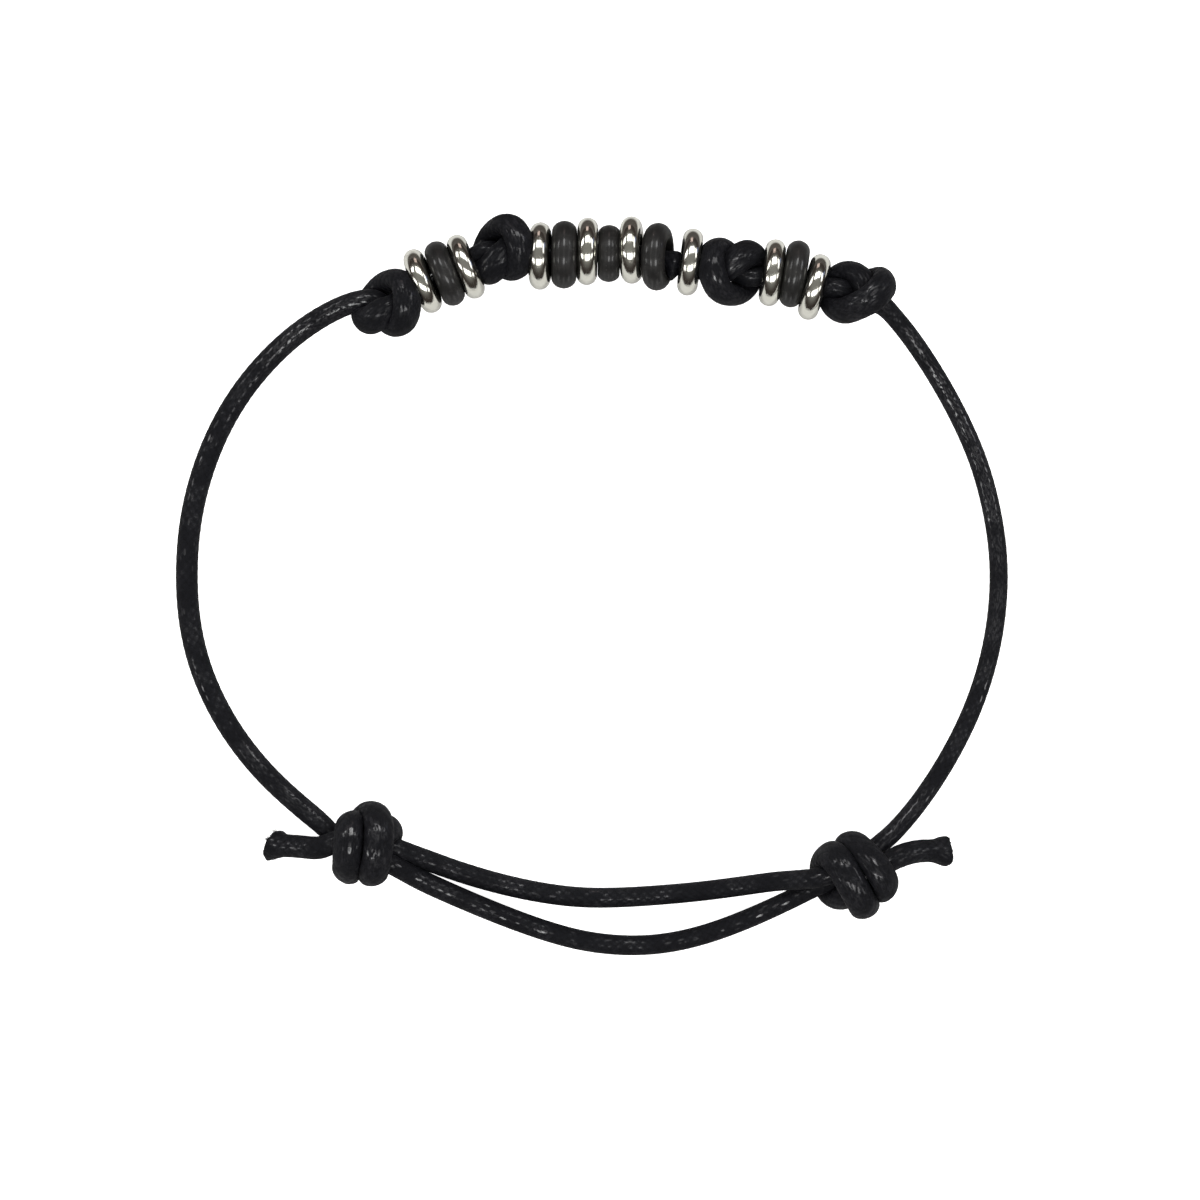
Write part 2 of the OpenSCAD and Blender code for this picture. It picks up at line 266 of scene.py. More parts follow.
@dataclass
class CordRoute:
    """The whole cord's route, from the left tail's end to the right tail's end."""

    knot_unit: float = 1.59
    stopper_shift: float = 0.43
    fine_step: float = 0.04 * MM
    rough_length: float = 0.37
    tight_fade: Span = (0.5, 3.0)
    free_smoothing: float = 1.1 * MM
    knot_smoothing: float = 0.22 * MM
    places: dict[str, KnotPlace] = field(
        default_factory=lambda: {
            "knot_1": KnotPlace((-15.21, 21.27, 2.89), -9, -8, -1, 0.89, 1.07, 0.1, -0.05, 3, 3),
            "knot_2": KnotPlace((-6.73, 25.28, 2.8), 6, -9, -1, 0.84, 1.06, 0.1, -0.05, 3, 2),
            "knot_3": KnotPlace((10.46, 23.48, 2.77), -5, 185, -1, 0.99, 1.05, 0, 0.1, 2, 2),
            "knot_4": KnotPlace((19.78, 21.97, 2.89), -20, 145, 1, 0.89, 0.98, 0, 0.1, 2, 1),
            "left": KnotPlace((-16.91, -19.31, 3.16), -7, 86, 1, 1, 0.94, 0.1, 0.25, 1, 1),
            "right": KnotPlace((19.47, -21.56, 3.18), 22, 288, 1, 1.01, 0.97, 0, 0.05, 1, 1),
        }
    )

    def table(self, half: Rows, mirror: Mirror) -> Array:
        """Make a whole knot table from its first half.

        Args:
            half: First half of the knot.
            mirror: Signs of the second half.

        Returns:
            All stations in cord widths.
        """
        first = np.array(half, float)
        whole = np.concatenate((first, first[-2::-1] * np.array(mirror.value)))
        if mirror is Mirror.STOPPER:
            whole[:, 1] += self.stopper_shift
        return whole

    def sections(self) -> list[tuple[Stretch, Array]]:
        """List the cord's stretches in order.

        Returns:
            Each stretch's kind and its stations in metres.
        """
        stopper = self.table(STOPPER_HALF, Mirror.STOPPER)
        wrap = self.table(WRAP_HALF, Mirror.WRAP)

        def knot(name: str) -> Array:
            """Stations of the knot of that name."""
            table = wrap if name in ("left", "right") else stopper
            return self.places[name].lay(table, self.knot_unit)

        rows = [
            (Stretch.TAIL, TAIL_LEFT), (Stretch.KNOT, knot("left")), (Stretch.FREE, STRAND_UPPER),
            (Stretch.CORE, CORE_RIGHT), (Stretch.FREE, ARC_RIGHT), (Stretch.KNOT, knot("knot_4")),
            (Stretch.ROW, ROW_RIGHT), (Stretch.KNOT, knot("knot_3")), (Stretch.ROW, ROW_MIDDLE),
            (Stretch.KNOT, knot("knot_2")), (Stretch.ROW, ROW_LEFT), (Stretch.KNOT, knot("knot_1")),
            (Stretch.FREE, ARC_LEFT), (Stretch.CORE, CORE_LEFT), (Stretch.FREE, STRAND_LOWER),
            (Stretch.KNOT, knot("right")), (Stretch.TAIL, TAIL_RIGHT),
        ]
        return [(kind, np.array(points, float) * MM) for kind, points in rows]

    def weight(self, kinds: tuple[Stretch, ...], fade: Span, at: Array) -> Array:
        """Weight of some stretches along the cord.

        Args:
            kinds: Stretches that count.
            fade: Stations past a stretch's end where its weight starts to fall, and where it is 0.
            at: Running station numbers.

        Returns:
            1 within those stretches, falling to 0 beyond.
        """
        near, far = fade
        total = np.zeros(len(at))
        first = 0
        for kind, points in self.sections():
            last = first + len(points) - 1
            if kind in kinds:
                beyond = np.maximum(first - at, at - last)
                total = np.maximum(total, smoothstep((far - beyond) / (far - near)))
            first = last + 1
        return total

    def line(self, rings: int) -> CordLine:
        """Sample the smooth centreline.

        Args:
            rings: Number of samples.

        Returns:
            The centreline with its frame.
        """
        route = np.concatenate([points for _, points in self.sections()])
        padded = np.concatenate(([2 * route[0] - route[1]], route, [2 * route[-1] - route[-2]]))
        pieces, stations = [], []
        for k in range(len(route) - 1):
            a, b, c, d = padded[k : k + 4]
            count = max(4, int(np.linalg.norm(c - b) / self.fine_step))
            t = (np.arange(count) / count)[:, None]
            square = (2 * a - 5 * b + 4 * c - d) * t**2
            cube = (3 * b - a - 3 * c + d) * t**3
            pieces.append(0.5 * (2 * b + (c - a) * t + square + cube))
            stations.append(k + t[:, 0])
        points = np.concatenate(pieces + [route[-1:]])
        station = np.concatenate(stations + [np.array([len(route) - 1.0])])
        points, station = self.spaced(points, station, int(self.rough_length / self.fine_step))
        step = np.linalg.norm(points[1] - points[0])
        held = (Stretch.KNOT, Stretch.ROW, Stretch.CORE)
        tight = self.weight(held, self.tight_fade, station)[:, None]
        firm = self.blurred(points, self.knot_smoothing / step)
        free = self.blurred(points, self.free_smoothing / step)
        points, station = self.spaced(tight * firm + (1 - tight) * free, station, rings)
        tangents = unit_rows(np.gradient(points, axis=0))
        sides = np.zeros_like(points)
        side = np.cross(tangents[0], (0.0, 0.0, 1.0))
        for k, tangent in enumerate(tangents):
            side = side - tangent * float(side @ tangent)
            side = side / np.linalg.norm(side)
            sides[k] = side
        ups = np.cross(tangents, sides)
        return CordLine(points, tangents, sides, ups, run_along(points), station)

    @staticmethod
    def spaced(points: Array, station: Array, count: int) -> tuple[Array, Array]:
        """Space samples evenly along their line.

        Args:
            points: Line samples.
            station: Station number of each.
            count: Samples wanted.

        Returns:
            New samples and their station numbers.
        """
        run = run_along(points)
        at = np.linspace(0.0, run[-1], count)
        even = np.stack([np.interp(at, run, points[:, k]) for k in range(3)], axis=1)
        return even, np.interp(at, run, station)

    @staticmethod
    def blurred(points: Array, sigma: float) -> Array:
        """Smooth a line with a bell-shaped window and keep its ends.

        Args:
            points: Evenly spaced samples.
            sigma: Width of the window in samples.

        Returns:
            Smoothed samples.
        """
        reach = int(3 * sigma)
        window = np.exp(-0.5 * (np.arange(-reach, reach + 1) / sigma) ** 2)
        window /= window.sum()
        before = 2 * points[0] - points[reach:0:-1]
        after = 2 * points[-1] - points[-2 : -reach - 2 : -1]
        whole = np.concatenate((before, points, after))
        return np.stack([np.convolve(whole[:, k], window, mode="valid") for k in range(3)], axis=1)


@dataclass(frozen=True)
class RingShape:
    """One ring of the row, in metres: its place and the section that it is turned from."""

    centre: Point
    turn: float
    tip: float
    outer: float
    wall: float
    width: float

    @property
    def mid_radius(self) -> float:
        """Radius from the axis to the middle of the section."""
        return (self.outer - self.wall) / 2

    @property
    def placing(self) -> Matrix:
        """Turn and move from a ring about X at the origin to its place."""
        spun = Matrix.Rotation(self.turn, 4, "Z") @ Matrix.Rotation(-self.tip, 4, "Y")
        return Matrix.Translation(self.centre) @ spun

    def section(self, bm: BMesh, sides: int) -> list[bmesh.types.BMVert]:
        """Draw a round section at the origin."""
        made = bmesh.ops.create_circle(bm, cap_ends=False, radius=self.wall / 2, segments=sides)
        return made["verts"]

    def spin(self, bm: BMesh, verts: list[bmesh.types.BMVert], steps: int) -> None:
        """Spin a section into a smooth closed ring about X at the origin.

        Args:
            bm: Mesh that holds the section.
            verts: The section, drawn round the origin.
            steps: Steps of the whole turn.
        """
        edges = list(dict.fromkeys(e for v in verts for e in v.link_edges))
        bmesh.ops.translate(bm, verts=verts, vec=(0, self.mid_radius, 0))
        bmesh.ops.spin(
            bm, geom=verts + edges, cent=(0, 0, 0), axis=(1, 0, 0), dvec=(0, 0, 0),
            angle=2 * math.pi, steps=steps, use_merge=True,
        )
        bmesh.ops.recalc_face_normals(bm, faces=bm.faces)
        for face in bm.faces:
            face.smooth = True

    def pushed_off(self, points: Array, skin: float) -> Array:
        """Move points that lie inside the ring out to its surface, as soft cord would give way.

        Args:
            points: Points in the row frame.
            skin: Gap that is left.

        Returns:
            The points, moved where needed.
        """
        inverse = np.array(self.placing.inverted())
        local = points @ inverse[:3, :3].T + inverse[:3, 3]
        radius = np.maximum(np.hypot(local[:, 1], local[:, 2]), 1e-9)
        half = max(self.width - self.wall, 0.0) / 2
        along = local[:, 0] - np.clip(local[:, 0], -half, half)
        outward = radius - self.mid_radius
        distance = np.maximum(np.hypot(along, outward), 1e-9)
        wanted = self.wall / 2 + skin
        short = np.where(distance < wanted, wanted / distance - 1.0, 0.0)
        moved = local.copy()
        moved[:, 0] += along * short
        grown = (radius + outward * short) / radius
        moved[:, 1:] *= grown[:, None]
        forward = np.array(self.placing)
        return moved @ forward[:3, :3].T + forward[:3, 3]


class NodeKit:
    """Adds and joins shader nodes in one tree."""

    def __init__(self, tree: Tree) -> None:
        """Keep the tree to work in."""
        self.tree = tree

    def feed(self, into: Socket, value: object) -> None:
        """Join an input to a socket, or set the input's own value.

        Args:
            into: The input.
            value: A socket, number, vector or colour.
        """
        if isinstance(value, Socket):
            self.tree.links.new(value, into)
        else:
            into.default_value = value

    def fit(self, node: bpy.types.Node, **values: object) -> None:
        """Join or set several inputs of a node, named with underscores for spaces."""
        for name, value in values.items():
            self.feed(node.inputs[name.replace("_", " ")], value)

    def add(self, kind: str, **values: object) -> bpy.types.Node:
        """Add a node and set its properties and inputs.

        Args:
            kind: Node type without the word ShaderNode.
            **values: Property names, or input names with spaces as underscores.

        Returns:
            The new node.
        """
        node = self.tree.nodes.new("ShaderNode" + kind)
        for name, value in values.items():
            if hasattr(node, name):
                setattr(node, name, value)
            else:
                self.fit(node, **{name: value})
        return node

    def place(self) -> Socket:
        """Object coordinates of the surface."""
        return self.add("TexCoord").outputs["Object"]

    def noise(self, vector: Socket, **values: object) -> Socket:
        """Strength of a noise texture on a vector, with inputs named as in add."""
        return self.add("TexNoise", Vector=vector, **values).outputs["Fac"]

    def bump(self, height: Socket, strength: float, depth: float) -> Socket:
        """Normal of a surface that is raised by a height."""
        return self.add("Bump", Strength=strength, Distance=depth, Height=height).outputs["Normal"]

    def facing(self) -> Socket:
        """How far the surface turns away from the eye: 0 face on, 1 at the rim."""
        return self.add("LayerWeight", Blend=0.5).outputs["Facing"]

    def math(self, operation: str, a: object, b: object = None, clamp: bool = False) -> Socket:
        """Add a Math node.

        Args:
            operation: Its operation.
            a: First value or socket.
            b: Second value or socket.
            clamp: Whether the result is kept within 0 and 1.

        Returns:
            The result's socket.
        """
        node = self.add("Math", operation=operation, use_clamp=clamp)
        for k, value in enumerate((a, b)):
            if value is not None:
                self.feed(node.inputs[k], value)
        return node.outputs[0]

    def plus(self, a: object, b: object, clamp: bool = False) -> Socket:
        """Add two values or sockets."""
        return self.math("ADD", a, b, clamp)

    def times(self, a: object, b: object, clamp: bool = False) -> Socket:
        """Multiply two values or sockets."""
        return self.math("MULTIPLY", a, b, clamp)

    def ramp(self, value: Socket, low: float, high: float, a: float, b: float) -> Socket:
        """Map a value from one span to another, eased and clamped.

        Args:
            value: The value's socket.
            low: Value that gives a.
            high: Value that gives b.
            a: First result.
            b: Second result.

        Returns:
            The result's socket.
        """
        node = self.add(
            "MapRange", interpolation_type="SMOOTHSTEP",
            Value=value, From_Min=low, From_Max=high, To_Min=a, To_Max=b,
        )
        return node.outputs["Result"]

    def mix(self, factor: Socket, a: object, b: object) -> Socket:
        """Mix two colours.

        Args:
            factor: Share of the second colour.
            a: First colour or socket.
            b: Second colour or socket.

        Returns:
            The colour's socket.
        """
        node = self.add("Mix", data_type="RGBA", Factor=factor)
        for slot, value in ((6, a), (7, b)):
            self.feed(node.inputs[slot], value if isinstance(value, Socket) else (*value, 1.0))
        return node.outputs[2]


def new_group(name: str, inputs: dict[str, float | None], outputs: tuple[str, ...]) -> Tree:
    """Start a shader node group.

    Args:
        name: Name of the group.
        inputs: Input names with a default number, or None for a vector.
        outputs: Names of its outputs, all numbers.

    Returns:
        The group's tree.
    """
    tree = bpy.data.node_groups.new(name, "ShaderNodeTree")
    for label, default in inputs.items():
        kind = "NodeSocketVector" if default is None else "NodeSocketFloat"
        socket = tree.interface.new_socket(label, in_out="INPUT", socket_type=kind)
        if default is not None:
            socket.default_value = default
    for label in outputs:
        tree.interface.new_socket(label, in_out="OUTPUT", socket_type="NodeSocketFloat")
    tree.nodes.new("NodeGroupInput")
    tree.nodes.new("NodeGroupOutput")
    return tree


class SurfaceEffects:
    """Effects that several finishes use, each a node group built once."""

    def __init__(self) -> None:
        """Build the groups."""
        self.flecks = self.make_flecks()
        self.wear = self.make_wear()

    @staticmethod
    def ends(tree: Tree) -> tuple[bpy.types.Node, bpy.types.Node]:
        """Find a group's input and output nodes."""
        return tree.nodes["Group Input"], tree.nodes["Group Output"]

    def make_flecks(self) -> Tree:
        """Make scattered small flecks, such as wax or dust.

        Returns:
            The group.
        """
        tree = new_group("small_flecks", {"Vector": None, "Scale": 400.0, "Amount": 0.1}, ("Mask",))
        kit = NodeKit(tree)
        into, out = self.ends(tree)
        vector, scale = into.outputs["Vector"], into.outputs["Scale"]
        cells = kit.add("TexVoronoi", feature="F1", Randomness=1.0, Vector=vector, Scale=scale)
        patch = kit.noise(vector, Scale=kit.times(scale, 0.23), Detail=2.0, Roughness=0.6)
        small = kit.ramp(cells.outputs["Distance"], 0.22, 0.36, 1.0, 0.0)
        chance = kit.add("SeparateColor", Color=cells.outputs["Color"])
        likely = kit.math("LESS_THAN", chance.outputs["Red"], into.outputs["Amount"])
        where = kit.ramp(patch, 0.42, 0.6, 0.15, 1.0)
        kit.fit(out, Mask=kit.times(kit.times(small, likely), where))
        return tree

    def make_wear(self) -> Tree:
        """Make soft uneven handling wear with fine scratches.

        Returns:
            The group.
        """
        inputs = {"Vector": None, "Scale": 300.0, "Scratches": 0.3}
        tree = new_group("handling_wear", inputs, ("Wear", "Height"))
        kit = NodeKit(tree)
        into, out = self.ends(tree)
        vector, scale = into.outputs["Vector"], into.outputs["Scale"]
        stretch = kit.add("VectorMath", operation="MULTIPLY", Vector=vector)
        stretch.inputs[1].default_value = (1.0, 9.0, 2.0)
        cloud = kit.noise(vector, Scale=scale, Detail=4.0, Roughness=0.55)
        streak = kit.noise(
            stretch.outputs["Vector"], Scale=scale, Detail=3.0, Roughness=0.7, Distortion=0.6
        )
        scored = kit.times(kit.ramp(streak, 0.55, 0.7, 0.0, 1.0), into.outputs["Scratches"])
        wear = kit.plus(cloud, scored, clamp=True)
        kit.fit(out, Wear=wear, Height=kit.math("SUBTRACT", cloud, scored))
        return tree


def start_material(name: str) -> tuple[Material, NodeKit, bpy.types.Node]:
    """Start a material with its shader.

    Args:
        name: Name of the material.

    Returns:
        The material, a kit for its tree, and its Principled shader.
    """
    material = bpy.data.materials.new(name)
    material.use_nodes = True
    return material, NodeKit(material.node_tree), material.node_tree.nodes["Principled BSDF"]


@dataclass(frozen=True)
class BraidFinish:
    """Waxed black braid: two sets of plaits that cross, with painted shade in their valleys, fuzz,
    specks of wax and polished places; the lighter wax colour is partly painted glint.
    """

    # Painted shade: the valleys between the plaits are darker than their crowns
    painted_valley_shade: Row = (0.0013, 0.0014, 0.0024)
    crown: Row = (0.005, 0.0053, 0.0078)
    # Lighter wax colour: wax tone, and partly painted glint
    wax_and_glint: Row = (0.015, 0.015, 0.018)
    bump_depth: float = 0.05 * MM
    yarns: int = 4
    yarn_height: float = 0.05

    def plaits(self, kit: NodeKit, around: Socket, along: Socket) -> Socket:
        """Work out the height of the crossing plaits.

        Args:
            kit: Kit of the material's tree.
            around: Plait columns round the cord.
            along: Plait lengths along it.

        Returns:
            The height's socket.
        """
        left = kit.plus(around, along)
        right = kit.math("SUBTRACT", around, along)
        heights = []
        for own, other, phase in ((left, right, 0.0), (right, left, 1.0)):
            lane = kit.math("ROUND", own)
            off = kit.math("SUBTRACT", own, lane)
            crown = kit.math("SUBTRACT", 1.0, kit.times(kit.times(off, off), 4.0))
            turn = kit.plus(kit.plus(lane, other), phase)
            lift = kit.math("COSINE", kit.times(turn, math.pi))
            yarns = kit.math("SINE", kit.times(own, 2 * math.pi * self.yarns))
            height = kit.plus(kit.times(crown, CROWN_SHARE), kit.times(lift, LIFT_SHARE))
            heights.append(kit.plus(height, kit.times(yarns, self.yarn_height)))
        return kit.math("MAXIMUM", *heights)

    def build(self, effects: SurfaceEffects) -> Material:
        """Make the material.

        Args:
            effects: Shared node groups.

        Returns:
            The material.
        """
        material, kit, shader = start_material("waxed_black_braid")
        uv = kit.add("UVMap", uv_map="braid").outputs["UV"]
        parts = kit.add("SeparateXYZ", Vector=uv)
        around, along = parts.outputs["X"], parts.outputs["Y"]
        plait = self.plaits(kit, around, along)
        slanted = kit.plus(kit.times(along, 0.75), kit.times(around, 0.3))
        drawn = kit.add("CombineXYZ", X=slanted, Y=kit.times(around, 1.9)).outputs["Vector"]
        flecks = kit.add("Group", node_tree=effects.flecks, Vector=drawn, Scale=1.0, Amount=0.5)
        place = kit.place()
        fuzz = kit.noise(place, Scale=8000.0, Detail=3.0, Roughness=0.7)
        blotch = kit.noise(place, Scale=650.0, Detail=2.0, Roughness=0.5)
        gleam = kit.noise(drawn, Scale=2.8, Detail=1.5)
        # Random fuzz and blotch tone, plus painted shade that darkens the plait valleys
        tone_and_valley_shade = kit.plus(kit.ramp(plait, 0.1, 0.95, 0.0, 0.55), kit.ramp(fuzz, 0.38, 0.68, 0.0, 0.6))
        tone_and_valley_shade = kit.times(tone_and_valley_shade, kit.ramp(blotch, 0.3, 0.7, 0.6, 1.15), clamp=True)
        crowns = kit.ramp(plait, 0.6, 0.95, 0.0, 0.5)
        crowns = kit.times(crowns, kit.ramp(blotch, 0.47, 0.6, 0.0, 1.0))
        crowns = kit.times(crowns, kit.ramp(fuzz, 0.46, 0.58, 0.0, 1.0))
        specks = kit.times(flecks.outputs["Mask"], kit.ramp(plait, 0.2, 0.7, 0.35, 1.0))
        handled = kit.add("Attribute", attribute_name="handled").outputs["Fac"]
        polished = kit.times(handled, kit.ramp(gleam, 0.48, 0.58, 0.0, 1.0))
        polished = kit.times(polished, kit.ramp(blotch, 0.38, 0.54, 0.25, 1.0))
        # Wax on crowns, specks and polished places; its lighter base colour is partly painted glint
        wax_and_glint_mask = kit.plus(kit.plus(crowns, specks), polished, clamp=True)
        crest = kit.times(wax_and_glint_mask, kit.ramp(kit.facing(), 0.1, 0.3, 1.0, 0.0))
        dull = kit.ramp(blotch, 0.35, 0.68, 0.8, 0.66)
        relief = kit.plus(kit.plus(plait, kit.times(fuzz, 0.35)), kit.times(specks, 0.5))
        kit.fit(
            shader,
            Base_Color=kit.mix(wax_and_glint_mask, kit.mix(tone_and_valley_shade, self.painted_valley_shade, self.crown), self.wax_and_glint),
            Roughness=kit.math("SUBTRACT", dull, kit.times(crest, 0.5), clamp=True),
            Specular_IOR_Level=0.17,
            Coat_Weight=crest,
            Coat_Roughness=0.08,
            Coat_IOR=1.7,
            Normal=kit.bump(relief, 0.75, self.bump_depth),
        )
        return material


@dataclass(frozen=True)
class FrayFinish:
    """Cut fibre ends, a little greyer than the waxed braid."""

    dark: Row = (0.006, 0.006, 0.007)
    light: Row = (0.035, 0.034, 0.034)

    def build(self) -> Material:
        """Make the material.

        Returns:
            The material.
        """
        material, kit, shader = start_material("frayed_fibre")
        streak = kit.noise(kit.place(), Scale=5200.0, Detail=3.0, Roughness=0.6)
        kit.fit(
            shader,
            Base_Color=kit.mix(kit.ramp(streak, 0.35, 0.7, 0.0, 1.0), self.dark, self.light),
            Roughness=kit.ramp(streak, 0.3, 0.7, 0.8, 0.55),
            Specular_IOR_Level=0.3,
        )
        return material


@dataclass(frozen=True)
class SilverFinish:
    """Bright polished metal with faint hairlines and slightly warmer worn patches."""

    bright: Row = (0.6, 0.594, 0.538)
    warm: Row = (0.49, 0.478, 0.422)
    roughness: Span = (0.12, 0.23)
    bump_depth: float = 0.012 * MM

    def build(self, effects: SurfaceEffects) -> Material:
        """Make the material.

        Args:
            effects: Shared node groups.

        Returns:
            The material.
        """
        material, kit, shader = start_material("polished_silver")
        marks = kit.add(
            "Group", node_tree=effects.wear, Vector=kit.place(), Scale=620.0, Scratches=0.5
        )
        wear = marks.outputs["Wear"]
        kit.fit(
            shader,
            Base_Color=kit.mix(kit.ramp(wear, 0.5, 1.0, 0.0, 0.8), self.bright, self.warm),
            Roughness=kit.ramp(wear, 0.4, 1.0, *self.roughness),
            Metallic=1.0,
            Normal=kit.bump(marks.outputs["Height"], 0.12, self.bump_depth),
        )
        return material


@dataclass(frozen=True)
class RubberFinish:
    """Satin black rubber with polished lines round it, bloom and a little dust."""

    deep: Row = (0.0085, 0.0083, 0.0082)
    bloom: Row = (0.0215, 0.0205, 0.0195)
    dust: Row = (0.09, 0.086, 0.082)
    polish_lines: float = 12.8
    bump_depth: float = 0.02 * MM

    def build(self, effects: SurfaceEffects) -> Material:
        """Make the material.

        Args:
            effects: Shared node groups.

        Returns:
            The material.
        """
        material, kit, shader = start_material("satin_rubber")
        place = kit.place()
        marks = kit.add(
            "Group", node_tree=effects.wear, Vector=place, Scale=900.0, Scratches=0.25
        )
        flecks = kit.add(
            "Group", node_tree=effects.flecks, Vector=place, Scale=8500.0, Amount=0.035
        )
        wear = marks.outputs["Wear"]
        body = kit.mix(kit.ramp(wear, 0.3, 0.9, 0.0, 1.0), self.deep, self.bloom)
        uv = kit.add("UVMap", uv_map="turned").outputs["UV"]
        section = kit.add("SeparateXYZ", Vector=uv).outputs["Y"]
        lines = kit.math("COSINE", kit.times(section, self.polish_lines))
        kit.fit(
            shader,
            Base_Color=kit.mix(flecks.outputs["Mask"], body, self.dust),
            Roughness=kit.ramp(wear, 0.3, 0.95, 0.5, 0.62),
            Specular_IOR_Level=0.22,
            Coat_Weight=kit.times(
                kit.ramp(kit.facing(), 0.15, 0.6, 0.9, 0.0), kit.ramp(lines, 0.0, 1.0, 0.1, 1.0)
            ),
            Coat_Roughness=0.16,
            Normal=kit.bump(marks.outputs["Height"], 0.3, self.bump_depth),
        )
        return material


def shown(name: str, data: bpy.types.ID) -> bpy.types.Object:
    """Put a mesh, light or camera into the scene.

    Args:
        name: Name of the object.
        data: What it holds.

    Returns:
        The object.
    """
    thing = bpy.data.objects.new(name, data)
    bpy.context.scene.collection.objects.link(thing)
    return thing


def finished(name: str, bm: BMesh, material: Material) -> bpy.types.Object:
    """Turn a bmesh into a finished piece that rides on the part.

    Args:
        name: Name of the piece.
        bm: Its shape, which is freed.
        material: Its finish.

    Returns:
        The piece.
    """
    mesh = bpy.data.meshes.new(name)
    bm.to_mesh(mesh)
    bm.free()
    mesh.materials.append(material)
    piece = shown(name, mesh)
    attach(piece, "root")
    LOG.info("%s: %d faces", name, len(mesh.polygons))
    return piece


